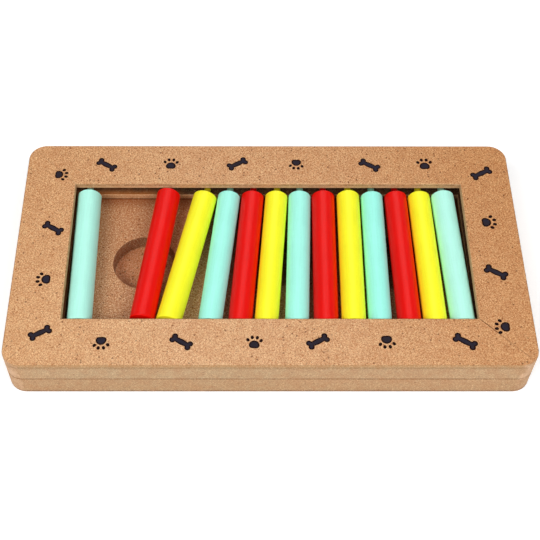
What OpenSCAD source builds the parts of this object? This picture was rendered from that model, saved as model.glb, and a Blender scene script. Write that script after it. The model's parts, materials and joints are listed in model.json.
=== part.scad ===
// Dog puzzle feeder: a wooden tray with three treat wells under a row of painted rods.
// A dog pushes the rods aside with its nose or paw to reach the treats in the wells.
// The tray is a base board with a mitred frame glued on it. A groove runs round the inside
// of the frame, and the pegs on the rods' ends ride in it, so the rods slide but stay in.
// Millimetres. The origin is the middle of the footprint, on the surface the feet stand on.
// +X runs along the board, +Y points away from the front edge, and +Z is up.

/* [Board] */
// Length of the board along X
board_l = 300; // [300:1:340]
// Width of the board along Y
board_w = 160; // [150:1:190]
// Thickness of the base board
base_t = 15; // [13:0.5:20]
// Radius of the four upright outer corners
corner_r = 10.5; // [4:0.5:20]
// Flat broken along every outer edge
edge_ease = 0.4; // [0.2:0.1:1]

/* [Treat wells] */
// Diameter of each well
well_d = 38; // [30:1:44]
// Depth of each well below the tray floor
well_depth = 10; // [6:0.5:11]
// Distance between the centres of neighbouring wells
well_pitch = 75; // [50:1:85]
// Radius between the wall and the bottom of a well
well_fillet = 1; // [0.5:0.5:3]

/* [Frame] */
// Thickness of the frame's rails
frame_t = 15; // [14:0.5:18]
// Width of each rail
rail_w = 31; // [26:0.5:31]
// Height of the groove's lower face above the tray floor
groove_z = 4.25; // [3.5:0.25:4.75]
// Height of the groove that the pegs ride in
groove_h = 6.5; // [6:0.25:7.5]
// Depth of the groove, measured in from the tray side of the rail
groove_depth = 7; // [7:0.5:9]
// Rounding of the rails' upper edge on the tray side
lip_round = 0.8; // [0.4:0.1:1.5]
// Flat broken along both edges of the groove's mouth
groove_ease = 0.3; // [0.1:0.1:0.6]

/* [Rods] */
// Diameter of a plain rod, with its paint
rod_d = 13.8; // [13:0.1:13.8]
// Free play between a rod's shoulders and the rails, both ends together
rod_play = 4.5; // [4.5:0.5:6]
// Diameter of the pegs turned on a rod's ends
peg_d = 4; // [3:0.5:4.5]
// Length of a peg
peg_l = 7.2; // [6:0.1:7.4]
// Flat turned on the shoulders' edges
rod_ease = 0.5; // [0.3:0.1:1.5]
// Height of a rod above the tray floor
rod_lift = 0.15; // [0.1:0.05:0.5]

/* [Feet] */
// Diameter of an anti-slip pad
foot_d = 14; // [8:1:20]
// Thickness of an anti-slip pad
foot_t = 1.5; // [1:0.5:3]
// Distance of a pad's centre from both edges of the board
foot_inset = 18; // [14:1:30]

/* [Hidden] */
// The rods from left to right, as they are left after play. They aren't all equally thick,
// so each has how much it is thicker than rod_d. Then come the clear gap on its left,
// measured along the middle line of the tray, its lean to the right in degrees, and how far
// it has slid towards the front.
ROD_OVER = [0.7, 0.6, 0.9, 0.1, 0.0, 0.0, 0.0, 0.4, 0.3, -0.2, 0.0, -0.1, 0.4];
ROD_GAP = [1.5, 28.0, 4.8, 4.9, 2.1, 1.2, 2.2, 1.6, 1.6, 1.1, 2.1, 1.0, 1.3];
ROD_LEAN = [-0.7, 7.4, 12.0, 6.4, 4.7, 4.5, 2.4, 1.0, 0.7, 0.4, -0.9, -1.1, -1.9];
ROD_FORWARD = [1.5, -0.1, 1.5, 1.6, 1.6, 1.6, 1.7, 1.8, 1.5, 1.9, 1.8, 1.8, 1.6];
// Paint, in the order in which it repeats from left to right
PAINTS = ["#aff3df", "#e0201a", "#fdf02f"];

wood_top = "#cf9c6e";
wood_base = "#b98a63";
pad_grey = "#4a4a4c";

rods = len(ROD_GAP);
tray_l = board_l - 2 * rail_w;
tray_w = board_w - 2 * rail_w;
floor_z = foot_t + base_t;
rod_l = tray_w - rod_play;
foot_x = board_l / 2 - foot_inset;
foot_y = board_w / 2 - foot_inset;

ROD_NAMES = [for (i = [1:rods]) str("rod_", i < 10 ? "0" : "", i)];

// Sum of a list's first n values
function sum_to(list, n) = n == 0 ? 0 : list[n - 1] + sum_to(list, n - 1);

// Radius of rod i
function rod_r(i) = (rod_d + ROD_OVER[i]) / 2;

// Where rod i crosses the middle line of the tray
function rod_x(i) =
    -tray_l / 2 + sum_to(ROD_GAP, i + 1) + i * rod_d + sum_to(ROD_OVER, i) + rod_r(i);

// A board's cross-section with all four edges broken: w wide about 0, t high from 0
module board_section(w, t) {
    e = edge_ease;
    polygon([
        [-w / 2 + e, 0], [w / 2 - e, 0],
        [w / 2, e], [w / 2, t - e],
        [w / 2 - e, t], [-w / 2 + e, t],
        [-w / 2, t - e], [-w / 2, e]
    ]);
}

// A board with round upright corners: two runs of the section, and a turned post at each
// corner that carries the broken edges round
module board_blank(l, w, t) {
    rotate([90, 0, 90])
        linear_extrude(l - 2 * corner_r, center = true)
            board_section(w, t);
    rotate([90, 0, 0])
        linear_extrude(w - 2 * corner_r, center = true)
            board_section(l, t);
    for (x = [-1, 1], y = [-1, 1])
        translate([x * (l / 2 - corner_r), y * (w / 2 - corner_r), 0])
            rotate_extrude($fn = 64)
                intersection() {
                    board_section(2 * corner_r, t);
                    square([corner_r, t]);
                }
}

// The cutter for one well: a cylinder with a rounded bottom corner, standing on z = 0
module well_cutter() {
    r = well_d / 2;
    f = well_fillet;
    rotate_extrude($fn = 128) {
        square([r - f, f]);
        translate([0, f])
            square([r, well_depth - f + 1]);
        translate([r - f, f])
            intersection() {
                circle(f, $fn = 32);
                translate([0, -f])
                    square(f);
            }
    }
}

// The base board with its row of treat wells
module base_board() {
    color(wood_base)
        translate([0, 0, foot_t])
            difference() {
                board_blank(board_l, board_w, base_t);
                for (x = [-1, 0, 1])
                    translate([x * well_pitch, 0, base_t - well_depth])
                        well_cutter();
            }
}

// A rail's cross-section. x is 0 on its outer face and rail_w on the tray side.
module rail_section() {
    g = groove_ease;
    groove_x = rail_w - groove_depth;
    difference() {
        square([rail_w, frame_t]);
        // The groove, with both edges of its mouth broken
        polygon([
            [groove_x, groove_z], [rail_w - g, groove_z],
            [rail_w, groove_z - g], [rail_w + 1, groove_z - g],
            [rail_w + 1, groove_z + groove_h + g], [rail_w, groove_z + groove_h + g],
            [rail_w - g, groove_z + groove_h], [groove_x, groove_z + groove_h]
        ]);
        // The rounding of the upper edge
        translate([rail_w - lip_round, frame_t - lip_round])
            difference() {
                square(lip_round + 1);
                circle(lip_round, $fn = 32);
            }
    }
}

// A mitred rail along the side of the frame that faces -Y: l is that side's length and w
// is the frame's size across it. The stock is cut at 45 degrees at both ends, and the
// outer corners follow the board's.
module mitred_rail(l, w) {
    intersection() {
        translate([0, -w / 2, 0])
            rotate([90, 0, 90])
                linear_extrude(l, center = true)
                    rail_section();
        linear_extrude(frame_t)
            polygon([
                [-l / 2, -w / 2], [l / 2, -w / 2],
                [l / 2 - rail_w, rail_w - w / 2], [-l / 2 + rail_w, rail_w - w / 2]
            ]);
        board_blank(l, w, frame_t);
    }
}

module front_rail() {
    color(wood_top)
        translate([0, 0, floor_z])
            mitred_rail(board_l, board_w);
}

module back_rail() {
    color(wood_top)
        translate([0, 0, floor_z])
            rotate(180)
                mitred_rail(board_l, board_w);
}

module left_rail() {
    color(wood_top)
        translate([0, 0, floor_z])
            rotate(-90)
                mitred_rail(board_w, board_l);
}

module right_rail() {
    color(wood_top)
        translate([0, 0, floor_z])
            rotate(90)
                mitred_rail(board_w, board_l);
}

// The outline of a turned rod of radius r, from its middle to one tip: shoulder, peg and
// broken edges
function rod_outline(r) =
    let (
        p = peg_d / 2,
        shoulder = rod_l / 2,
        tip = shoulder + peg_l,
        tip_ease = p / 4
    ) [
        [r, shoulder - rod_ease], [r - rod_ease, shoulder],
        [p, shoulder], [p, tip - tip_ease],
        [p - tip_ease, tip], [0, tip]
    ];

// Rod i, where it lies. A rod is one turned piece with a peg on each end.
module rod(i) {
    outline = rod_outline(rod_r(i));
    last = len(outline) - 1;
    other_half = [for (k = [last:-1:0]) [outline[k].x, -outline[k].y]];
    color(PAINTS[i % len(PAINTS)])
        translate([rod_x(i), 0, floor_z + rod_lift + rod_r(i)])
            rotate(-ROD_LEAN[i])
                translate([0, -ROD_FORWARD[i], 0])
                    rotate([90, 0, 0])
                        rotate_extrude($fn = 96)
                            polygon(concat(outline, other_half));
}

// An anti-slip pad stuck under a corner of the board
module foot(x, y) {
    color(pad_grey)
        translate([x * foot_x, y * foot_y, 0])
            rotate_extrude($fn = 64)
                polygon([
                    [0, 0], [foot_d / 2 - edge_ease, 0],
                    [foot_d / 2, edge_ease], [foot_d / 2, foot_t], [0, foot_t]
                ]);
}

base_board();
front_rail();
back_rail();
left_rail();
right_rail();
for (i = [0:rods - 1])
    rod(i);
foot(-1, -1);  // foot_front_left
foot(1, -1);  // foot_front_right
foot(-1, 1);  // foot_back_left
foot(1, 1);  // foot_back_right
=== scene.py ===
# %% [markdown]
# # A wooden puzzle feeder for a dog
# The toy is a flat tray of wood-fibre board. Treats go into three round wells in its floor, and
# thirteen painted rods lie over them. The rods' ends ride in a groove round the inside of the
# tray's frame, so the dog can push them aside with its nose but can't pull them out.
#
# Every solid piece of the toy arrives ready made, at its real size, in metres. This notebook
# gives those pieces their wood, paint and rubber, prints the small motifs on the frame, and
# sets up a plain studio round them.

# %% Load the solid model
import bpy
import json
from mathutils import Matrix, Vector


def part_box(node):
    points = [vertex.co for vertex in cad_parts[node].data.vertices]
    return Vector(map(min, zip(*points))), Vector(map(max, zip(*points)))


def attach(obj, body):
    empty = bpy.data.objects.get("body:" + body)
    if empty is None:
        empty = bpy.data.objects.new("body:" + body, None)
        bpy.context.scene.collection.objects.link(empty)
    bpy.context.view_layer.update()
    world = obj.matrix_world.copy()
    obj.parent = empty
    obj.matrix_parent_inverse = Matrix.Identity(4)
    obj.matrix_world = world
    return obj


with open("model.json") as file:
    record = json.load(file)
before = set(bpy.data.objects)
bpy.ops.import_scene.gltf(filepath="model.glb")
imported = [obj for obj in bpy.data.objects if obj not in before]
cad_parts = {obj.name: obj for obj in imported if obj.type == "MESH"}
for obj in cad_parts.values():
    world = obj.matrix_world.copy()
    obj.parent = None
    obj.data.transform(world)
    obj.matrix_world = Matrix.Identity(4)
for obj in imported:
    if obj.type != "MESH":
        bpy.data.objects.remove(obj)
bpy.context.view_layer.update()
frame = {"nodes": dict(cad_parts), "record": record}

# %% [markdown]
# Blender's own `bmesh` makes the new shapes, and `mathutils` turns and moves them. Sizes are
# given in millimetres below, so one name stands for a millimetre in metres.

# %% The libraries that the rest uses
import json
import math
from types import SimpleNamespace

import bmesh
import bpy
import numpy as np
from mathutils import Matrix, Vector

MM = 0.001
print("Blender", bpy.app.version_string)

# %% [markdown]
# ## Measures
# The model says where everything is, so nothing is measured twice. The frame is a ring of four
# rails on the base board. Its top, its outside and the opening inside it give all the places
# that the finishes and prints need.

# %% Read the places of the main surfaces
base_low, base_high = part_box("base_board")
front_rail_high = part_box("front_rail")[1]
left_rail_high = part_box("left_rail")[1]
top_z = front_rail_high.z
seam_z = base_high.z
half_length, half_width = base_high.x, base_high.y
tray_x, tray_y = -left_rail_high.x, -front_rail_high.y
print(f"board {2 * half_length / MM:.0f} x {2 * half_width / MM:.0f} mm")
print(f"tray {2 * tray_x / MM:.0f} x {2 * tray_y / MM:.0f} mm")
print(f"tray floor at {seam_z / MM:.1f} mm, top at {top_z / MM:.1f} mm")

# %% [markdown]
# ## The camera
# A flat toy shows best from the front and steeply above, where the rods and the wells can both be
# seen. A long lens keeps the far edge nearly as long as the near one. A new camera looks straight
# down. Three plain angles aim it: a turn about the upright axis, a tip up from straight down, and
# a roll about its own line of sight. A sideways shift of the lens puts the toy in the middle
# without turning the camera any further.

# %% Place the camera
LENS = 73.83
SENSOR = 36.0
CAMERA_PLACE = Vector((-13.7, -383.4, 565.9)) * MM
TURN = math.radians(-0.477)
TIP_UP = math.radians(34.532)
ROLL = math.radians(0.421)
SHIFT_X = 0.0347
NEAREST, FARTHEST = 0.01, 20.0

camera_data = bpy.data.cameras.new("camera")
camera_data.lens = LENS
camera_data.sensor_width = SENSOR
camera_data.shift_x = SHIFT_X
camera_data.clip_start = NEAREST
camera_data.clip_end = FARTHEST
camera = bpy.data.objects.new("camera", camera_data)
bpy.context.scene.collection.objects.link(camera)
camera.matrix_world = (
    Matrix.Translation(CAMERA_PLACE)
    @ Matrix.Rotation(TURN, 4, "Z")
    @ Matrix.Rotation(TIP_UP, 4, "X")
    @ Matrix.Rotation(ROLL, 4, "Z")
)
bpy.context.scene.camera = camera
print("camera", [round(v / MM) for v in CAMERA_PLACE], "mm")

# %% [markdown]
# ## Shader maths as plain Python
# A material is a graph of nodes, and most of its nodes only add, multiply or compare. Wiring
# them by hand hides the formula. The class below wraps one output of a node, so that
# `1 - mask * 0.5` adds the Math nodes by itself.

# %% Define the wire
class Wire:
    """One output of a shader node. Sums, products and comparisons on it add Math nodes."""

    def __init__(self, finish, socket):
        self.finish = finish
        self.socket = socket

    def __getitem__(self, output):
        return Wire(self.finish, self.socket.node.outputs[output])

    def __add__(self, other):
        return self.finish.maths("ADD", self, other)

    def __radd__(self, other):
        return self.finish.maths("ADD", other, self)

    def __sub__(self, other):
        return self.finish.maths("SUBTRACT", self, other)

    def __rsub__(self, other):
        return self.finish.maths("SUBTRACT", other, self)

    def __mul__(self, other):
        return self.finish.maths("MULTIPLY", self, other)

    def __rmul__(self, other):
        return self.finish.maths("MULTIPLY", other, self)

    def __abs__(self):
        return self.finish.maths("ABSOLUTE", self)

    def most(self, other):
        return self.finish.maths("MAXIMUM", self, other)

    def least(self, other):
        return self.finish.maths("MINIMUM", self, other)

    def root(self):
        return self.finish.maths("SQRT", self)

    def rise(self, start, end):
        """Goes smoothly from 0 at start to 1 at end, whichever of the two is larger."""
        low, high = (0, 1) if start < end else (1, 0)
        span = {"From Min": min(start, end), "From Max": max(start, end)}
        return self.finish.node(
            "MapRange",
            {"interpolation_type": "SMOOTHSTEP"},
            {"Value": self, **span, "To Min": low, "To Max": high},
        )


print("a wire can:", [name for name in vars(Wire) if not name.startswith("_")])

# %% [markdown]
# Every other kind of node comes from one method, `node`. A few patterns come up in each finish,
# so they get short methods of their own: a noise, a mix of two colours, and the surface that
# light meets at last, with its colour, roughness, gloss and fine relief.

# %% Define the finish
class Finish:
    """A material, or the look of a world, and the nodes that make it."""

    # A Mix node has sockets for numbers, vectors and colours. These are the ones for colours.
    FACTOR, FIRST, SECOND, RESULT = 0, 6, 7, 2

    def __init__(self, name, owner=None):
        self.owner = owner or bpy.data.materials.new(name)
        self.owner.use_nodes = True
        self.tree = self.owner.node_tree
        self.tree.nodes.clear()

    def node(self, kind, settings=None, inputs=None, output=0):
        """A shader node: its settings are set first, then its sockets get values or wires."""
        made = self.tree.nodes.new("ShaderNode" + kind)
        for name, value in (settings or {}).items():
            setattr(made, name, value)
        for name, value in (inputs or {}).items():
            if isinstance(value, Wire):
                self.tree.links.new(value.socket, made.inputs[name])
            else:
                made.inputs[name].default_value = value
        return Wire(self, made.outputs[output]) if made.outputs else None

    def maths(self, operation, first, second=0.0):
        return self.node("Math", {"operation": operation}, {0: first, 1: second})

    def noise(self, place, scale, detail):
        """Soft random values round 0.5: so many blobs a metre, broken up more by more detail."""
        return self.node("TexNoise", None, {"Vector": place, "Scale": scale, "Detail": detail})

    def mix(self, factor, first, second, blend="MIX"):
        """A colour between two, each given as three or four linear numbers or as a wire."""
        sides = [c if isinstance(c, Wire) else (*c[:3], 1.0) for c in (first, second)]
        settings = {"data_type": "RGBA", "blend_type": blend, "clamp_factor": True}
        inputs = {self.FACTOR: factor, self.FIRST: sides[0], self.SECOND: sides[1]}
        return self.node("Mix", settings, inputs, self.RESULT)

    def surface(self, tone, roughness, specular, relief, strength, depth):
        """Shows a colour with its roughness and gloss, and a relief so many metres deep."""
        bump = self.node("Bump", None, {"Strength": strength, "Distance": depth, "Height": relief})
        sockets = {"Base Color": tone, "Roughness": roughness, "Normal": bump}
        sockets["Specular IOR Level"] = specular
        return self.show(self.node("BsdfPrincipled", None, sockets))

    def show(self, shader, kind="OutputMaterial"):
        """Makes the shader what the owner shows, and returns the owner."""
        self.node(kind, None, {"Surface": shader})
        return self.owner


print("a finish can:", [name for name in vars(Finish) if name.islower() and name[0] != "_"])

# %% [markdown]
# Blender's shaders count light linearly, while a paint chart gives colours as a screen shows
# them. All the colours here are written as on a chart, and one function turns them.

# %% Read colours as a paint chart gives them
def colour(red, green, blue):
    """The linear colour for red, green and blue as a paint chart gives them, 0 to 255."""
    parts = [value / 255 for value in (red, green, blue)]
    return tuple(p / 12.92 if p <= 0.04045 else ((p + 0.055) / 1.055) ** 2.4 for p in parts)


print("mid grey is", round(colour(128, 128, 128)[0], 3), "in linear light")

# %% [markdown]
# ## The studio
# The toy stands on a white sweep. Three things could light it: one bare lamp gives hard black
# shadows, a white world alone gives a flat picture, and large soft lamps round a dim world give
# form without harshness, so those are used here. Two lamps stand in front, the left one stronger.
# A weak pair hangs behind the toy, a little apart, because a lamp right behind it would shine
# down along the narrow gaps between the rods, which ought to be dark. The floor comes first. It
# is so wide that its edges never show.

# %% Lay the floor
FLOOR_HALF = 3.0

floor_mesh = bpy.data.meshes.new("studio_floor")
floor_shape = bmesh.new()
bmesh.ops.create_grid(floor_shape, x_segments=1, y_segments=1, size=FLOOR_HALF)
floor_shape.to_mesh(floor_mesh)
floor_shape.free()
studio_floor = bpy.data.objects.new("studio_floor", floor_mesh)
bpy.context.scene.collection.objects.link(studio_floor)
print("floor", 2 * FLOOR_HALF, "m wide")

# %% [markdown]
# The floor takes the toy's shadow. What makes it pure white is a glow that only the camera,
# mirror images and clear glass see, so it throws no light on the toy. The glow is weaker near the
# toy, where the lamps light the floor, and grows to full strength where their light runs out.

# %% Make the floor white
def shown_white(finish):
    """1 for rays from the camera, a mirror image or clear glass, and 0 for rays that light."""
    rays = finish.node("LightPath")
    looks = rays["Is Camera Ray"] + rays["Is Glossy Ray"] + rays["Is Transmission Ray"]
    return looks.rise(0, 1)


FLOOR_SHADE = 0.80
GLOW_NEAR_THE_TOY = 0.42
GLOW_GROWS = (0.5, 1.6)

white_sweep = Finish("white_sweep")
paper = white_sweep.node(
    "BsdfDiffuse", None, {"Color": (FLOOR_SHADE, FLOOR_SHADE, FLOOR_SHADE, 1)}
)
distance = white_sweep.node(
    "VectorMath", {"operation": "LENGTH"}, {0: white_sweep.node("TexCoord")["Object"]}
)["Value"]
evened = GLOW_NEAR_THE_TOY + distance.rise(*GLOW_GROWS) * (1 - GLOW_NEAR_THE_TOY)
strength = shown_white(white_sweep) * evened
glow = white_sweep.node("Emission", None, {"Color": (1, 1, 1, 1), "Strength": strength})
floor_mesh.materials.append(
    white_sweep.show(white_sweep.node("AddShader", None, {0: paper, 1: glow}))
)
print("floor glow", GLOW_NEAR_THE_TOY, "near the toy")

# %% [markdown]
# The world is a tent of paper round the studio. It looks as white as the floor, and the light
# that it gives is dim, so that the lamps' shadows keep their depth.

# %% Light the world dimly
TENT_LIGHT = 0.15

world = bpy.data.worlds.new("light_tent")
bpy.context.scene.world = world
tent = Finish("light_tent", world)
strength = TENT_LIGHT + shown_white(tent) * (1 - TENT_LIGHT)
tent_light = tent.node("Background", None, {"Color": (1, 1, 1, 1), "Strength": strength})
tent.show(tent_light, "OutputWorld")
bpy.context.scene.view_settings.view_transform = "Standard"
print("the world lights at", TENT_LIGHT)

# %% [markdown]
# A broad pale stripe runs along each rod. It is the mirror image of a card that hangs behind the
# toy. The card is a lamp that diffuse rays don't see, so it shows on satin paint and lights
# nothing.

# %% Hang the lamps
LAMPS = {
    # a lamp's place and width in metres, and its power in watts
    "left_lamp": ((-1.35, -1.3, 1.9), 1.5, 50.0),
    "right_lamp": ((1.4, -1.25, 1.9), 1.5, 41.5),
    "back_left_lamp": ((-0.36, 1.0, 1.45), 0.45, 1.5),
    "back_right_lamp": ((0.36, 1.0, 1.45), 0.45, 1.5),
}
SHEEN_CARD = ((0.0, 1.0, 1.45), 1.2, 10.0)


def soft_lamp(name, place, width, power):
    """A square lamp that hangs at a place and points at the toy."""
    data = bpy.data.lights.new(name, "AREA")
    data.shape = "SQUARE"
    data.size = width
    data.energy = power
    lamp = bpy.data.objects.new(name, data)
    bpy.context.scene.collection.objects.link(lamp)
    lamp.location = place
    lamp.rotation_mode = "QUATERNION"
    lamp.rotation_quaternion = (-Vector(place)).to_track_quat("-Z", "Y")
    return lamp


def light_on_top(place, power):
    """What a lamp adds to the brightness of a level white face on the toy."""
    far = Vector(place).length
    return power * place[2] / far / (math.pi * far) ** 2


for name, lamp in LAMPS.items():
    soft_lamp(name, *lamp)
soft_lamp("sheen_card", *SHEEN_CARD).visible_diffuse = False
level_white = TENT_LIGHT + sum(light_on_top(place, power) for place, _, power in LAMPS.values())
print("a level white face shows at", round(level_white, 2))

# %% [markdown]
# ## Wood-fibre board
# The tray is made of pressed wood fibre. Seen close, its face is a felt of short fibres that lie
# flat and point every way, some pale and some dark, with a few dark specks of bark. Its sawn
# edges are smoother and greyer, the routed groove is browner, the milled wells are redder, and a
# saw leaves a ragged, slightly scorched line where it runs along an edge.
#
# A picture of board wrapped round each piece would show seams and would look the same on every
# piece. Here the pattern is worked out in space instead, so it runs through each piece as the
# fibres do. Noise that is stretched along one direction gives fibres, and three such noises,
# turned by 60 degrees from each other, give the felt.

# %% Make the felt of fibres
FIBRE_TURNS = [math.radians(angle) for angle in (12, 72, 132)]
PALE_FIBRE = (0.54, 0.70)
DARK_FIBRE = (0.46, 0.30)


def fibre_layer(finish, place, turn, length, width):
    """Noise stretched to fibres of a length and width that lie flat, turned about Z."""
    laid = finish.node(
        "Mapping",
        {"vector_type": "TEXTURE"},
        {"Vector": place, "Rotation": (0, 0, turn), "Scale": (length, width, width)},
    )
    return finish.noise(laid, 1.0, 1.5)


def felt(finish, place, length, width):
    """How much pale and how much dark fibre is at a place: two wires, 0 where there is none."""
    layers = [fibre_layer(finish, place, turn, length, width) for turn in FIBRE_TURNS]
    pale = sum(layer.rise(*PALE_FIBRE) for layer in layers)
    dark = sum(layer.rise(*DARK_FIBRE) for layer in layers)
    return pale, dark


print("fibres run at", [round(math.degrees(turn)) for turn in FIBRE_TURNS], "degrees")

# %% [markdown]
# Between the fibres lie dark flecks of bark. A Voronoi texture cuts space into cells and gives
# each a random colour. A fleck is drawn round a cell's middle, and only in the few cells whose
# colour is strong enough. Four plain noises, from coarse to fine, make everything uneven.

# %% Scatter the flecks and patches
UNEVEN = {
    # blobs a metre, and their detail
    "drift": (14.0, 1.0),
    "patches": (170.0, 3.0),
    "mottle": (420.0, 1.0),
    "ragged": (900.0, 2.0),
}
SPECK_CELLS, SPECK_OUTLINE = 400.0, (0.30, 0.12)
CRUMB_CELLS, CRUMB_OUTLINE, CRUMBS_ABOVE = 720.0, (0.34, 0.14), 0.80


def flecks(finish, place, cells_a_metre, outline, channel, above):
    """Round flecks, one in each cell whose random colour lies above a value."""
    cells = finish.node("TexVoronoi", None, {"Vector": place, "Scale": cells_a_metre})
    chance = finish.node("SeparateColor", None, {"Color": cells["Color"]})[channel]
    return cells["Distance"].rise(*outline) * chance.rise(above, above + 0.03)


def grain(finish, place, specks_above):
    """The grain at a place: long and fine fibres, flecks, and what makes them uneven."""
    seen = SimpleNamespace()
    seen.pale, seen.dark = felt(finish, place, 1.25 * MM, 0.50 * MM)
    seen.fine_pale, seen.fine_dark = felt(finish, place, 0.60 * MM, 0.27 * MM)
    for name, (scale, detail) in UNEVEN.items():
        setattr(seen, name, finish.noise(place, scale, detail))
    seen.speck = flecks(finish, place, SPECK_CELLS, SPECK_OUTLINE, "Red", specks_above)
    seen.crumb = flecks(finish, place, CRUMB_CELLS, CRUMB_OUTLINE, "Green", CRUMBS_ABOVE)
    return seen


print("noises in the grain:", list(UNEVEN))

# %% [markdown]
# Where a place lies on the board decides its colour. The distance to the board's outline finds
# the scorched edge, and the distance to the tray's walls finds the groove and the corner where
# shade is painted. Both come from the place alone, by plain arithmetic.

# %% Find the edges and walls
CORNER_RADIUS = 10.5 * MM


def rim_distance(across_x, across_y):
    """How far inside the board's outline a place is, and how far round one of its corners."""
    past_x = across_x - (half_length - CORNER_RADIUS)
    past_y = across_y - (half_width - CORNER_RADIUS)
    round_x, round_y = past_x.most(0), past_y.most(0)
    corner = (round_x * round_x + round_y * round_y).root()
    rim = CORNER_RADIUS - corner - past_x.most(past_y).least(0)
    return rim, round_x.least(round_y)


def wall_distance(across_x, across_y):
    """How far outside the tray's opening a place is. It is negative inside the tray."""
    return (across_x - tray_x).most(across_y - tray_y)


def mitre_distance(across_x, across_y):
    """How far a place is from the nearest saw cut between two rails."""
    return abs(across_x - across_y - (half_length - half_width)) * math.sqrt(0.5)


print("mitres start", round((half_length - half_width) / MM), "mm from the middle")

# %% [markdown]
# All that is known about a place is gathered once for each finish: its coordinates, its
# distances, and how flat the face lies there. A face at the tray's side is told from the board's
# outer side by how far outside the opening it stands.

# %% Survey the board
LIES_FLAT = (0.80, 0.97)
TRAY_SIDE_ENDS = (1.2 * MM, 0.9 * MM)


def survey(finish):
    """Where a place lies on the board: its coordinates and distances, and how flat it lies."""
    where = finish.node("TexCoord")
    at = SimpleNamespace(place=where["Object"])
    axes = finish.node("SeparateXYZ", None, {"Vector": at.place})
    at.x, at.y, at.height = axes["X"], axes["Y"], axes["Z"]
    at.across_x, at.across_y = abs(at.x), abs(at.y)
    at.level = abs(finish.node("SeparateXYZ", None, {"Vector": where["Normal"]})["Z"])
    at.flat = at.level.rise(*LIES_FLAT)
    at.rim, at.corner = rim_distance(at.across_x, at.across_y)
    at.outside = wall_distance(at.across_x, at.across_y)
    at.within = at.outside.rise(*TRAY_SIDE_ENDS)
    return at


print("the tray's side ends", TRAY_SIDE_ENDS[0] / MM, "mm outside its opening")

# %% [markdown]
# The board's colour is built up as a painter glazes a picture. A ground colour comes first, and
# thin coats go over it, each with a colour, a strength, and a mask that says where it lies. The
# strengths and colours stand in one table, where they are easy to compare.

# %% Name the coats
COATS = {
    # strength, and colour
    "drift": (0.15, colour(205, 140, 92)),
    "sawn": (0.60, colour(138, 106, 66)),
    "handled": (0.75, colour(190, 146, 98)),
    "scuffed": (0.88, colour(88, 68, 48)),
    "seam": (0.45, colour(104, 68, 38)),
    "mottle": (0.16, colour(232, 150, 84)),
    "pale fibres": (0.68, colour(255, 226, 180)),
    "fine pale fibres": (0.38, colour(255, 228, 186)),
    "dark fibres": (0.48, colour(160, 92, 44)),
    "fine dark fibres": (0.32, colour(140, 76, 34)),
    "dense patches": (0.16, colour(170, 104, 58)),
    "specks": (0.75, colour(90, 38, 14)),
    "crumbs": (0.55, colour(108, 50, 18)),
    "scorch": (0.26, colour(120, 84, 54)),
    "foot of the wall": (0.70, colour(56, 20, 2)),
    "ledge": (0.65, colour(150, 96, 56)),
    "lip": (0.40, colour(118, 76, 34)),
    "far floor": (0.24, colour(130, 58, 8)),
    "floor under the rods": (0.40, colour(40, 14, 2)),
    "dust along the walls": (0.60, colour(116, 50, 4)),
}


def glaze(finish, ground, *coats):
    """Lays coats over a ground colour. Each is a mask and the name of a coat."""
    for mask, name in coats:
        strength, tint = COATS[name]
        ground = finish.mix(mask * strength, ground, tint)
    return ground


print("coats:", len(COATS))

# %% [markdown]
# Edges age differently from faces. The frame's outer side is painted darker in a band a little
# under the top, and right under the face in the face's colour in shade: painted shade, as a
# rounded edge turning from the light shows. The base's foot is scuffed and painted darker as
# contact shade, dirt sits in the seam between base and frame, and the rounded corners were
# sanded back to fresh wood.

# %% Wear and shade the edges
MIDDLING = (0.35, 0.65)
SHADED_BAND_HEIGHT = (top_z - 4.6 * MM, top_z - 2.9 * MM)
EDGE_IN_SHADE_HEIGHT = (top_z - 2.2 * MM, top_z - 1.0 * MM)
SCUFFS_AND_SHADE_HEIGHT = (base_low.z + 2.7 * MM, base_low.z + 0.9 * MM)
SEAM_DIRT = (0.85 * MM, 0.25 * MM)
ROUND_THE_CORNER = (0, 2 * MM)
FRESH_WOOD = colour(216, 176, 144)


def worn(finish, at, seen, ground, unshaded, sanded):
    """The ground colour with its slow drift, painted shade on its edges, and its seam and corners
    worn.
    """
    outer = (1 - at.within) * (1 - at.flat)
    # a band painted darker a little under the top: painted shade, as under a rounded edge
    sawn = at.height.rise(*SHADED_BAND_HEIGHT) * outer
    # the face's colour in shade, painted on the strip right under the face
    handled = at.height.rise(*EDGE_IN_SHADE_HEIGHT) * outer
    # painted contact shade along the base's foot, with its scuffs
    scuffed = at.height.rise(*SCUFFS_AND_SHADE_HEIGHT) * (1 - at.within)
    seam = abs(at.height - seam_z).rise(*SEAM_DIRT) * (1 - at.within)
    ground = glaze(
        finish,
        ground,
        (seen.drift.rise(*MIDDLING) * unshaded, "drift"),
        (sawn, "sawn"),
        (handled, "handled"),
        (scuffed, "scuffed"),
        (seam * (1 + seen.drift), "seam"),
    )
    rounded = at.corner.rise(*ROUND_THE_CORNER) * (1 - at.flat) * seen.patches.rise(0.30, 0.55)
    return finish.mix(rounded * sanded, ground, FRESH_WOOD)


# how far down the outer side the band of painted shade reaches
print("edges greyed down to", round((top_z - SHADED_BAND_HEIGHT[0]) / MM, 1), "mm below the top")

# %% [markdown]
# The grain goes over the worn ground. It is full on flat faces and weaker on sawn ones, so each
# coat is multiplied by how much detail shows. The scorched line follows the outline, and a noise
# moves it in and out to make it ragged.

# %% Lay the grain over the ground
RAGGED_BY = 1.6 * MM
SCORCH_WIDTH = (0.75 * MM, 0.25 * MM)
FOOT_HEIGHT = (0.9 * MM, 0.3 * MM)
FOOT_WIDTH = (1.0 * MM, 0.3 * MM)


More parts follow.
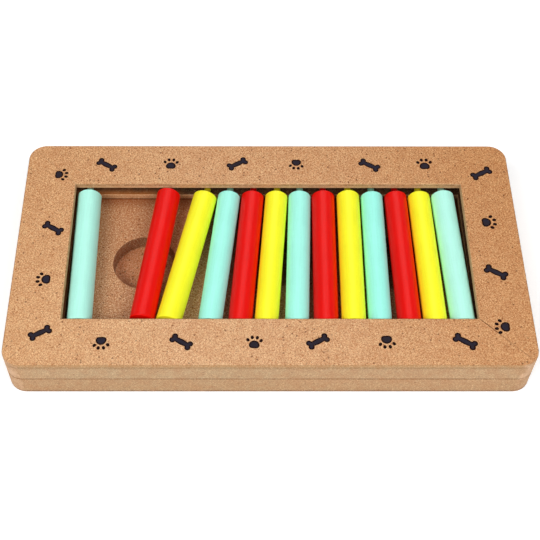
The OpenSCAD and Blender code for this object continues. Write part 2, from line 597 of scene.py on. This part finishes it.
def grained(finish, at, seen, ground, detail, unshaded):
    """The ground colour under its fibres and flecks, with the saw's scorch and painted shade at
    the wall's foot.
    """
    scorch_edge = at.rim + (seen.ragged - 0.5) * RAGGED_BY
    scorched = scorch_edge.rise(*SCORCH_WIDTH) * at.level.rise(0.25, 0.55)
    # painted shade where the walls meet the tray floor
    foot = abs(at.height - seam_z).rise(*FOOT_HEIGHT) * abs(at.outside).rise(*FOOT_WIDTH)
    return glaze(
        finish,
        ground,
        (seen.mottle.rise(*MIDDLING) * detail, "mottle"),
        (seen.pale * detail, "pale fibres"),
        (seen.fine_pale * detail, "fine pale fibres"),
        (seen.dark * detail, "dark fibres"),
        (seen.fine_dark * detail, "fine dark fibres"),
        (seen.patches.rise(0.58, 0.38) * unshaded, "dense patches"),
        (seen.speck * detail, "specks"),
        (seen.crumb * detail, "crumbs"),
        (scorched, "scorch"),
        (foot, "foot of the wall"),
    )


print("the scorched line wanders by", RAGGED_BY / 2 / MM, "mm each way")

# %% [markdown]
# The board is painted a little darker and more amber towards the far right, on the frame and in
# the tray alike. The darkening is painted shade, where less light falls, and the amber is a
# warmer tone of the board. It multiplies the colour below, as a filter does.

# %% Shade the board towards the far right
FAR_RIGHT_SHADE = (0.83, 0.70, 0.57)
AMBER_SLANT = 1.2
AMBER_SPAN = 245 * MM


def shaded_to_far_right(finish, at, tone):
    """The colour painted darker and more amber along a slant across the board, as painted shade.
    """
    along = at.x + at.y * AMBER_SLANT
    span = {"From Min": -AMBER_SPAN, "From Max": AMBER_SPAN}
    amber = finish.node("MapRange", None, {"Value": along, **span})
    lacquer = finish.mix(amber * at.flat, (1, 1, 1), FAR_RIGHT_SHADE)
    return finish.mix(1.0, tone, lacquer, "MULTIPLY")


def pressed(finish, seen, tone):
    """Finishes the board: matt, with pale fibres a little proud and specks a little sunk."""
    fibres = (seen.pale - seen.dark) * 0.5 + (seen.fine_pale - seen.fine_dark) * 0.25
    return finish.surface(
        tone=tone,
        roughness=0.74 - seen.pale * 0.05 + seen.dark * 0.05,
        specular=0.11,
        relief=fibres - seen.speck * 0.6,
        strength=0.6,
        depth=0.05 * MM,
    )


# the filter that paints shade and amber at the far right
print("lacquer at the far right lets through", FAR_RIGHT_SHADE)

# %% [markdown]
# ### The frame
# The groove is routed brown, and painted darker inwards, as the shade deep in it. Behind the
# packed rods it is painted nearly black, as the shade that the rods cast there. The grain and the
# drift of colour fade in it, so that it reads as one dark line. The lip over it is browned a
# little, and the ledge under it is painted darker towards its foot, as shade.

# %% Darken the groove
GROOVE_LOW = 20.75 * MM
GROOVE_HIGH = 27.25 * MM
GROOVE_EDGE = 0.3 * MM
GROOVE_BACK = (8.0 * MM, 7.5 * MM)
GROOVE_DARKENS = (-0.5 * MM, 4.5 * MM)
RODS_ARE_PACKED_FROM = (-62 * MM, -50 * MM)
SHADE_STRENGTH_BEHIND_RODS = 0.85
GROOVE_MOUTH = colour(140, 80, 28)
GROOVE_SHADE = colour(46, 17, 1)
BLACK_SHADE_BEHIND_RODS = colour(12, 2, 0)


def grooved(finish, at, seen, ground):
    """The ground colour with its groove, then how much grain and how much drift is left there."""
    groove = at.height.rise(GROOVE_LOW - GROOVE_EDGE, GROOVE_LOW)
    groove = groove * at.height.rise(GROOVE_HIGH + GROOVE_EDGE, GROOVE_HIGH)
    groove = groove * at.outside.rise(*GROOVE_BACK)
    # painted shade: the groove darkens from its mouth inwards
    deep_shade = finish.mix(at.outside.rise(*GROOVE_DARKENS), GROOVE_MOUTH, GROOVE_SHADE)
    # painted shade, nearly black, where the packed rods stand in front of the groove
    shade_behind_rods = at.x.rise(*RODS_ARE_PACKED_FROM) * SHADE_STRENGTH_BEHIND_RODS
    ground = finish.mix(groove, ground, finish.mix(shade_behind_rods, deep_shade, BLACK_SHADE_BEHIND_RODS))

    # painted shade on the ledge under the groove, darker towards its foot
    ledge = at.height.rise(GROOVE_LOW, GROOVE_LOW - 1.2 * MM) * at.within
    lip = at.height.rise(top_z - 2.6 * MM, top_z - 1.8 * MM) * at.within * (1 - at.flat)
    blotches = seen.patches.rise(0.3, 0.6) * 0.75 + seen.mottle.rise(*MIDDLING)
    ground = glaze(finish, ground, (ledge, "ledge"), (lip * blotches, "lip"))
    return ground, 1 - groove * 0.92, 1 - groove * shade_behind_rods


print("groove", round((GROOVE_HIGH - GROOVE_LOW) / MM, 1), "mm wide")

# %% [markdown]
# The rails meet in mitres. Good glue leaves only a broken hairline there, drawn where a slow and
# a fine noise allow it. At the near right the cut gapes a little at its inner end. The lacquer
# pooled towards both ends of the frame, which tints them once more.

# %% Cut the mitres
LACQUER_AT_THE_ENDS = (0.94, 0.88, 0.79)
LACQUER_POOLS = (30 * MM, 150 * MM)
HAIRLINE = (0.40 * MM, 0.12 * MM)
GAPES_AT_THE_NEAR_RIGHT = (165 * MM, 175 * MM)
GAPES_INWARDS = (17 * MM, 5 * MM)
MITRE_BROWN = colour(92, 48, 22)


def mitred(finish, at, seen, tone):
    """The frame's colour with pooled lacquer and the hairlines between its rails."""
    pooled = at.across_x.rise(*LACQUER_POOLS) * at.flat
    tone = finish.mix(pooled, tone, LACQUER_AT_THE_ENDS, "MULTIPLY")
    cut = mitre_distance(at.across_x, at.across_y).rise(*HAIRLINE) * at.flat
    broken = seen.drift.rise(0.40, 0.62) * 0.30 + seen.ragged.rise(0.40, 0.60) * 0.15
    gaping = (at.x - at.y).rise(*GAPES_AT_THE_NEAR_RIGHT) * at.outside.rise(*GAPES_INWARDS)
    return finish.mix(cut * (broken + gaping * 0.55), tone, MITRE_BROWN)


print("pooled lacquer lets through", LACQUER_AT_THE_ENDS)

# %% [markdown]
# The frame's finish now reads as a list of jobs: bare board, groove, wear, grain, painted shade
# and amber towards the far right, and mitres. All four rails share one material, because the
# pattern lies in space and runs differently through each of them.

# %% Finish the frame
FRAME_FACE = colour(222, 172, 130)
FRAME_SIDE = colour(179, 151, 117)
FRAME_INSIDE = colour(204, 161, 117)
FRAME_SPECKS_ABOVE = 0.82
GRAIN_STRENGTHENS = (-90 * MM, 90 * MM)
RAILS = ("front_rail", "back_rail", "left_rail", "right_rail")


def bare(finish, at, face, side, inside):
    """The ground colour of fresh board: its outer side, the tray's side, and its flat faces."""
    return finish.mix(at.flat, finish.mix(at.within, side, inside), face)


def coat(node, material):
    """Gives a solid piece its material."""
    for slot in frame["nodes"][node].material_slots:
        slot.material = material


def frame_finish(name):
    """Speckled board, grooved and mitred. Its grain shows a little more towards the back."""
    finish = Finish(name)
    at = survey(finish)
    seen = grain(finish, at.place, FRAME_SPECKS_ABOVE)
    ground = bare(finish, at, FRAME_FACE, FRAME_SIDE, FRAME_INSIDE)
    ground, grain_left, unshaded = grooved(finish, at, seen, ground)
    strong = 0.54 + at.y.rise(*GRAIN_STRENGTHENS) * 0.22
    detail = (0.4 + at.flat * strong) * grain_left
    ground = worn(finish, at, seen, ground, unshaded, sanded=0.85)
    tone = grained(finish, at, seen, ground, detail, unshaded)
    return pressed(finish, seen, mitred(finish, at, seen, shaded_to_far_right(finish, at, tone)))


frame_wood = frame_finish("frame_wood")
for node in RAILS:
    coat(node, frame_wood)
print("frame nodes:", len(frame_wood.node_tree.nodes))

# %% [markdown]
# ### The base board
# The base is the same board in a darker lot. Its wells are milled, which leaves a redder floor.
# The tray's floor is painted with shade towards the back, under the packed rods and along its
# walls.

# %% Finish the base board
BASE_FACE = colour(172, 116, 80)
BASE_SIDE = colour(175, 141, 105)
BASE_INSIDE = colour(104, 54, 26)
MILLED_WOOD = colour(226, 146, 100)
BASE_SPECKS_ABOVE = 0.70
WELL_FLOOR_HEIGHT = (seam_z - 7 * MM, seam_z - 9 * MM)
FAR_FLOOR = (-30 * MM, 50 * MM)
PACKED_FROM_THE_LEFT = (-45 * MM, -25 * MM)
PACKED_FROM_THE_FRONT = (-30 * MM, 10 * MM)
WALL_SHADE_REACH = (9 * MM, 0.5 * MM)


def shaded_floor(finish, at, tone):
    """The tray floor's colour with painted shade towards the back, under the packed rods and by
    the walls.
    """
    far = at.y.rise(*FAR_FLOOR) * at.flat
    # painted shade under the packed rods
    packed = at.x.rise(*PACKED_FROM_THE_LEFT) * at.y.rise(*PACKED_FROM_THE_FRONT) * at.flat
    # painted shade along the tray's walls
    near_walls_shade = (at.outside * -1).rise(*WALL_SHADE_REACH) * at.flat
    return glaze(
        finish,
        tone,
        (far, "far floor"),
        (packed, "floor under the rods"),
        (near_walls_shade, "dust along the walls"),
    )


def base_finish(name):
    """Darker board with milled wells and a soiled floor."""
    finish = Finish(name)
    at = survey(finish)
    seen = grain(finish, at.place, BASE_SPECKS_ABOVE)
    ground = bare(finish, at, BASE_FACE, BASE_SIDE, BASE_INSIDE)
    well_floor = at.height.rise(*WELL_FLOOR_HEIGHT) * at.flat
    ground = finish.mix(well_floor, ground, MILLED_WOOD)
    ground = worn(finish, at, seen, ground, unshaded=1.0, sanded=0.45)
    tone = grained(finish, at, seen, ground, detail=0.4 + at.flat * 0.5, unshaded=1.0)
    return pressed(finish, seen, shaded_floor(finish, at, shaded_to_far_right(finish, at, tone)))


base_wood = base_finish("base_wood")
coat("base_board", base_wood)
print("base nodes:", len(base_wood.node_tree.nodes))

# %% [markdown]
# ## Painted rods
# The rods are turned from wood and dipped in a satin paint, mint, red and yellow in turn. The
# lathe leaves fine rings, sanding leaves fine lines along the rod, and the paint lies a little
# unevenly over both. Each rod leans its own way in the tray. A pattern on the room's axes would
# cut slantwise through it, so each rod's material is turned to the rod first. How it lies is
# read from its mesh.

# %% Find how each rod lies
slot_of = {part["node"]: part["material_slot"] for part in frame["record"]["subparts"]}
rods = sorted(node for node in frame["nodes"] if node.startswith("rod_"))


def rod_lie(node):
    """A rod's middle, its lean from +Y towards +X, and its whole length, read from its mesh."""
    points = np.array([vertex.co for vertex in frame["nodes"][node].data.vertices])
    middle = (points.min(0) + points.max(0)) / 2
    way = np.linalg.svd(points - middle, full_matrices=False)[2][0]
    way = way if way[1] > 0 else -way
    along = (points - middle) @ way
    return Vector(middle), math.atan2(way[0], way[1]), along.max() - along.min()


for node in rods:
    middle, lean, length = rod_lie(node)
    print(node, slot_of[node], f"lean {math.degrees(lean):.1f} degrees, {length / MM:.1f} mm long")

# %% [markdown]
# The mint rods come from several pots of paint, some with more red in them than others. Where
# the paint lies thin over a ring or a line it is a little darker.

# %% Open the pots of paint
PAINTS = {
    "paint_mint": colour(172, 250, 232),
    "paint_red": colour(229, 8, 1),
    "paint_yellow": colour(255, 251, 43),
}
REDNESS = {"rod_01": 1.14, "rod_04": 0.93, "rod_07": 0.93, "rod_10": 0.86, "rod_13": 1.16}
THIN_PAINT = 0.80


def paint_of(node):
    """The colour that a rod is painted in."""
    red, green, blue = PAINTS[slot_of[node]]
    return red * REDNESS.get(node, 1), green, blue


for slot in PAINTS:
    print(slot, "on", sum(slot_of[node] == slot for node in rods), "rods")

# %% [markdown]
# The pattern is stretched: sanding lines are long and close together, and lathe rings are close
# along the rod and wide round it. Each rod's pegs are painted too, and painted darker still, as
# the shade that they lie in under the groove's lip. The shoulder between rod and peg is found
# from the rod's length.

# %% Paint the rods
SANDING_LINES = (1400.0, 60.0, 1400.0)
LATHE_RINGS = (150.0, 1300.0, 150.0)
PEG_LENGTH = 7.2 * MM
PEG_SHADE = (0.34, 0.27, 0.22)


def stretched_noise(finish, place, blobs_a_metre):
    """Noise with its own number of blobs a metre along each axis."""
    drawn = finish.node("Mapping", None, {"Vector": place, "Scale": blobs_a_metre})
    return finish.noise(drawn, 1.0, 2.0)


def rod_finish(name, paint, middle, lean, length):
    """Satin paint on turned wood. The pattern runs along the rod, wherever it lies."""
    finish = Finish(name)
    rod_axes = {"Location": middle, "Rotation": (0, 0, -lean)}
    room = finish.node("TexCoord")["Object"]
    place = finish.node("Mapping", {"vector_type": "TEXTURE"}, {"Vector": room, **rod_axes})
    streaks = stretched_noise(finish, place, SANDING_LINES)
    rings = stretched_noise(finish, place, LATHE_RINGS)
    peel = finish.noise(place, 1100.0, 1.0)
    cloud = finish.noise(place, 90.0, 2.0)

    thin = streaks.rise(0.62, 0.35) * 0.20 + rings.rise(0.62, 0.38) * 0.05
    thin = thin + peel.rise(0.64, 0.36) * 0.08 + cloud.rise(0.6, 0.4) * 0.12
    tone = finish.mix(thin, paint, tuple(channel * THIN_PAINT for channel in paint))
    along = abs(finish.node("SeparateXYZ", None, {"Vector": place})["Y"])
    shoulder = length / 2 - PEG_LENGTH
    on_peg = along.rise(shoulder + 0.1 * MM, shoulder + 0.4 * MM)
    return finish.surface(
        # the pegs painted darker, as the shade under the groove's lip
        tone=finish.mix(on_peg, tone, PEG_SHADE, "MULTIPLY"),
        roughness=0.32 + streaks * 0.08,
        specular=0.14,
        relief=peel * 0.6 + streaks * 0.4 + rings * 0.5,
        strength=0.45,
        depth=0.04 * MM,
    )


for node in rods:
    coat(node, rod_finish(node + "_paint", paint_of(node), *rod_lie(node)))
print("rods painted:", len(rods))

# %% [markdown]
# ## Rubber pads
# Four thin pads of soft rubber keep the board from sliding on the floor. They are punched from
# sheet, so their faces have a fine pebbled skin and no shine.

# %% Mould the pads' skin
rubber = Finish("pad_rubber")
rubber_place = rubber.node("TexCoord")["Object"]
pebbles = rubber.node("TexVoronoi", None, {"Vector": rubber_place, "Scale": 1600.0})["Distance"]
scuffs = rubber.noise(rubber_place, 260.0, 3.0)
pad_rubber = rubber.surface(
    tone=rubber.mix(scuffs.rise(0.52, 0.70) * 0.4, colour(58, 58, 60), colour(92, 90, 88)),
    roughness=0.82 - scuffs * 0.1,
    specular=0.3,
    relief=pebbles.rise(0.6, 0.1),
    strength=0.5,
    depth=0.08 * MM,
)
feet = sorted(node for node in frame["nodes"] if node.startswith("foot_"))
for node in feet:
    coat(node, pad_rubber)
print("pads:", feet)

# %% [markdown]
# ## Printed motifs
# Bones and paw prints are stamped on the frame in dark ink. They could be painted into the
# board's material, but a shape drawn by shader maths is slow and hard to read. Each motif is cut
# as a flat shape instead and gets the few hundredths of a millimetre that a coat of ink has, so
# it stays sharp from close by. Ink that is pressed out to the edge dries darker there, so the
# shape's middle is marked for the ink's material.

# %% Raise the ink
INK_THICKNESS = 0.03 * MM
INK_RIM = 0.9 * MM


def raise_ink(shape):
    """Marks the middle of flat faces, and gives them the thickness of a coat of ink."""
    middle = shape.verts.layers.float.new("ink_middle")
    inner = shape.faces[:]
    bmesh.ops.inset_region(shape, faces=inner, thickness=INK_RIM, use_boundary=True)
    for face in inner:
        for corner in face.verts:
            corner[middle] = 1.0
    grown = bmesh.ops.extrude_face_region(shape, geom=shape.faces[:])["geom"]
    top = [part for part in grown if isinstance(part, bmesh.types.BMVert)]
    bmesh.ops.translate(shape, verts=top, vec=(0, 0, INK_THICKNESS))
    bmesh.ops.recalc_face_normals(shape, faces=shape.faces)


print("ink", INK_THICKNESS / MM, "mm thick")

# %% [markdown]
# Half of a symmetric shape is work for the mirror. For the bone a quarter of the outline is
# enough: an edge along the shaft, an arc round one lobe, and a short edge into the notch.

# %% Cut the bone
BONE_LOBE = Vector((5.02, 1.42, 0)) * MM
BONE_LOBE_RADIUS = 1.75 * MM
BONE_SHAFT = 1.92 * MM
BONE_NOTCH = 6.0 * MM
LOBE_FROM, LOBE_TO = math.radians(-50), math.radians(175)
LOBE_STEPS = 12
WELD = 0.01 * MM


def bone():
    """A bone along X: a quarter of its outline is drawn, mirrored twice and filled."""
    shape = bmesh.new()
    arm = Vector((math.cos(LOBE_FROM), math.sin(LOBE_FROM), 0)) * BONE_LOBE_RADIUS
    start = shape.verts.new(BONE_LOBE + arm)
    shape.edges.new((shape.verts.new((BONE_NOTCH, 0, 0)), start))
    arc = bmesh.ops.spin(
        shape,
        geom=[start],
        cent=BONE_LOBE,
        axis=(0, 0, 1),
        angle=LOBE_TO - LOBE_FROM,
        steps=LOBE_STEPS,
    )
    end = arc["geom_last"][0]
    waist = shape.verts.new((0, BONE_SHAFT, 0))
    shape.edges.new((end, waist))
    for axis in "XY":
        half = shape.verts[:] + shape.edges[:]
        bmesh.ops.mirror(shape, geom=half, axis=axis, merge_dist=WELD)
    bmesh.ops.contextual_create(shape, geom=shape.edges[:])
    raise_ink(shape)
    return shape


sample = bone()
print("bone:", len(sample.faces), "faces")
sample.free()

# %% [markdown]
# The paw's pad is a disc that is drawn in towards the toes and left broad at the heel. The toes
# are four slim discs that fan out in front of it.

# %% Cut the paw
PAD_HALF = Vector((3.07, 2.87, 1)) * MM
PAD_SIDES = 40
HEEL_BROADER, TOE_END_SLIMMER, HEEL_HOLLOW = 0.10, 0.08, 0.22
TOE_HALF = Vector((0.95, 1.20, 1)) * MM
TOE_SIDES = 20
TOES = ((-3.8, 3.05, 28), (-1.45, 4.85, 9), (1.5, 4.8, -9), (3.75, 3.0, -28))


def disc(shape, place, sides):
    """Adds a flat disc of radius 1, laid down by a matrix, and returns its corners."""
    return bmesh.ops.create_circle(
        shape, cap_ends=True, radius=1, segments=sides, matrix=place
    )["verts"]


def pad_point(across, along):
    """Where a point of the round disc goes on the pad."""
    width = 1 + HEEL_BROADER * max(0, -along) - TOE_END_SLIMMER * max(0, along)
    if along <= 0:
        along *= 1 - HEEL_HOLLOW * (1 - abs(across))
    return Vector((across * width * PAD_HALF.x, along * PAD_HALF.y, 0))


def paw():
    """A paw print with its toes towards +Y and the middle of its pad at the origin."""
    shape = bmesh.new()
    for corner in disc(shape, Matrix.Identity(4), PAD_SIDES):
        corner.co = pad_point(corner.co.x, corner.co.y)
    for across, along, splay in TOES:
        disc(
            shape,
            Matrix.Translation((across * MM, along * MM, 0))
            @ Matrix.Rotation(math.radians(splay), 4, "Z")
            @ Matrix.Diagonal((TOE_HALF.x, TOE_HALF.y, 1, 1)),
            TOE_SIDES,
        )
    raise_ink(shape)
    return shape


sample = paw()
print("paw:", len(sample.faces), "faces")
sample.free()

# %% [markdown]
# The ink is a blue-black that thins to blue in places. It sinks into the board, so the felt shows
# faintly through it, in its colour and its relief.

# %% Mix the ink
INK = colour(40, 35, 43)
THIN_INK = colour(36, 38, 56)
INK_AT_THE_RIM = colour(24, 2, 0)
INK_ON_PALE_FIBRE = colour(84, 66, 58)

ink = Finish("print_ink")
ink_place = ink.node("TexCoord")["Object"]
ink_pale, ink_dark = felt(ink, ink_place, 1.2 * MM, 0.4 * MM)
ink_middle = ink.node("Attribute", {"attribute_name": "ink_middle"})["Fac"]
ink_tone = ink.mix(ink.noise(ink_place, 120.0, 1.0).rise(0.40, 0.66) * 0.5, INK, THIN_INK)
ink_tone = ink.mix(ink_middle.rise(0.75, 1.0), INK_AT_THE_RIM, ink_tone)
print_ink = ink.surface(
    tone=ink.mix(ink_pale * 0.12, ink_tone, INK_ON_PALE_FIBRE),
    roughness=0.62 + ink_pale * 0.08,
    specular=0.03,
    relief=ink_pale - ink_dark,
    strength=0.4,
    depth=0.03 * MM,
)
print("ink:", print_ink.name)

# %% [markdown]
# Bones and paws take turns round the frame. The stamp was set down by hand, so no two sit quite
# alike. Each print has its place in millimetres, its turn in degrees and its size, which grows
# with the ink on the stamp. A paw's turn is where its toes point, from +Y, and a bone's is the
# slope of its shaft.

# %% Lay out the prints
UP, LEFT, DOWN, RIGHT = 0, 90, 180, -90
TILT = 30
PRINTS = {
    "back_rail": [
        (paw, -130.2, 56.3, RIGHT - 2, 0.97), (bone, -100.9, 64.2, -TILT - 2, 1.0),
        (paw, -60.8, 63.4, UP - 2, 1.0), (bone, -19.2, 65.1, TILT, 1.0),
        (paw, 17.8, 66.3, DOWN - 3, 0.97), (bone, 63.6, 64.1, -TILT, 1.02),
        (paw, 98.2, 63.3, UP + 2, 1.04), (bone, 133.0, 57.6, TILT - 1, 1.04),
    ],
    "right_rail": [
        (paw, 131.3, 19.4, RIGHT + 2, 1.08), (bone, 132.7, -17.2, -TILT, 1.05),
        (paw, 133.4, -54.7, LEFT - 4, 1.04),
    ],
    "left_rail": [
        (bone, -129.7, 14.8, -TILT - 1, 1.0), (paw, -129.9, -22.3, LEFT + 1, 1.02),
        (bone, -129.8, -58.7, TILT - 1, 1.0),
    ],
    "front_rail": [
        (paw, -95.0, -63.7, DOWN + 3, 1.0), (bone, -50.0, -64.6, -TILT - 1, 1.0),
        (paw, -9.1, -66.5, UP - 4, 0.98), (bone, 26.7, -64.3, TILT - 1, 1.0),
        (paw, 65.3, -62.9, DOWN + 3, 1.02), (bone, 109.4, -64.3, -TILT - 1, 1.04),
    ],
}
print("prints:", sum(len(motifs) for motifs in PRINTS.values()))

# %% [markdown]
# The prints of one rail become one piece, a sheet of ink that rides on the board. Each motif is
# moved to its place while it is still a bmesh, so the finished piece's object stays at the
# origin, unturned and unscaled.

# %% Print them on the rails
def sheet_of_ink(motifs):
    """One bmesh with all the motifs of a rail in their places."""
    sheet = bmesh.new()
    for motif, x, y, angle, size in motifs:
        shape = motif()
        place = (
            Matrix.Translation((x * MM, y * MM, top_z))
            @ Matrix.Rotation(math.radians(angle), 4, "Z")
            @ Matrix.Diagonal((size, size, 1, 1))
        )
        bmesh.ops.transform(shape, matrix=place, verts=shape.verts)
        mesh = bpy.data.meshes.new("motif")
        shape.to_mesh(mesh)
        sheet.from_mesh(mesh)
        bpy.data.meshes.remove(mesh)
        shape.free()
    return sheet


def piece(name, shape, material, body):
    """Makes a finished piece from a bmesh, riding on a body of the model."""
    mesh = bpy.data.meshes.new(name)
    shape.to_mesh(mesh)
    shape.free()
    mesh.materials.append(material)
    made = bpy.data.objects.new(name, mesh)
    bpy.context.scene.collection.objects.link(made)
    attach(made, body)


for rail, motifs in PRINTS.items():
    piece(rail + "_prints", sheet_of_ink(motifs), print_ink, "board")
    print(rail, "prints:", len(motifs))
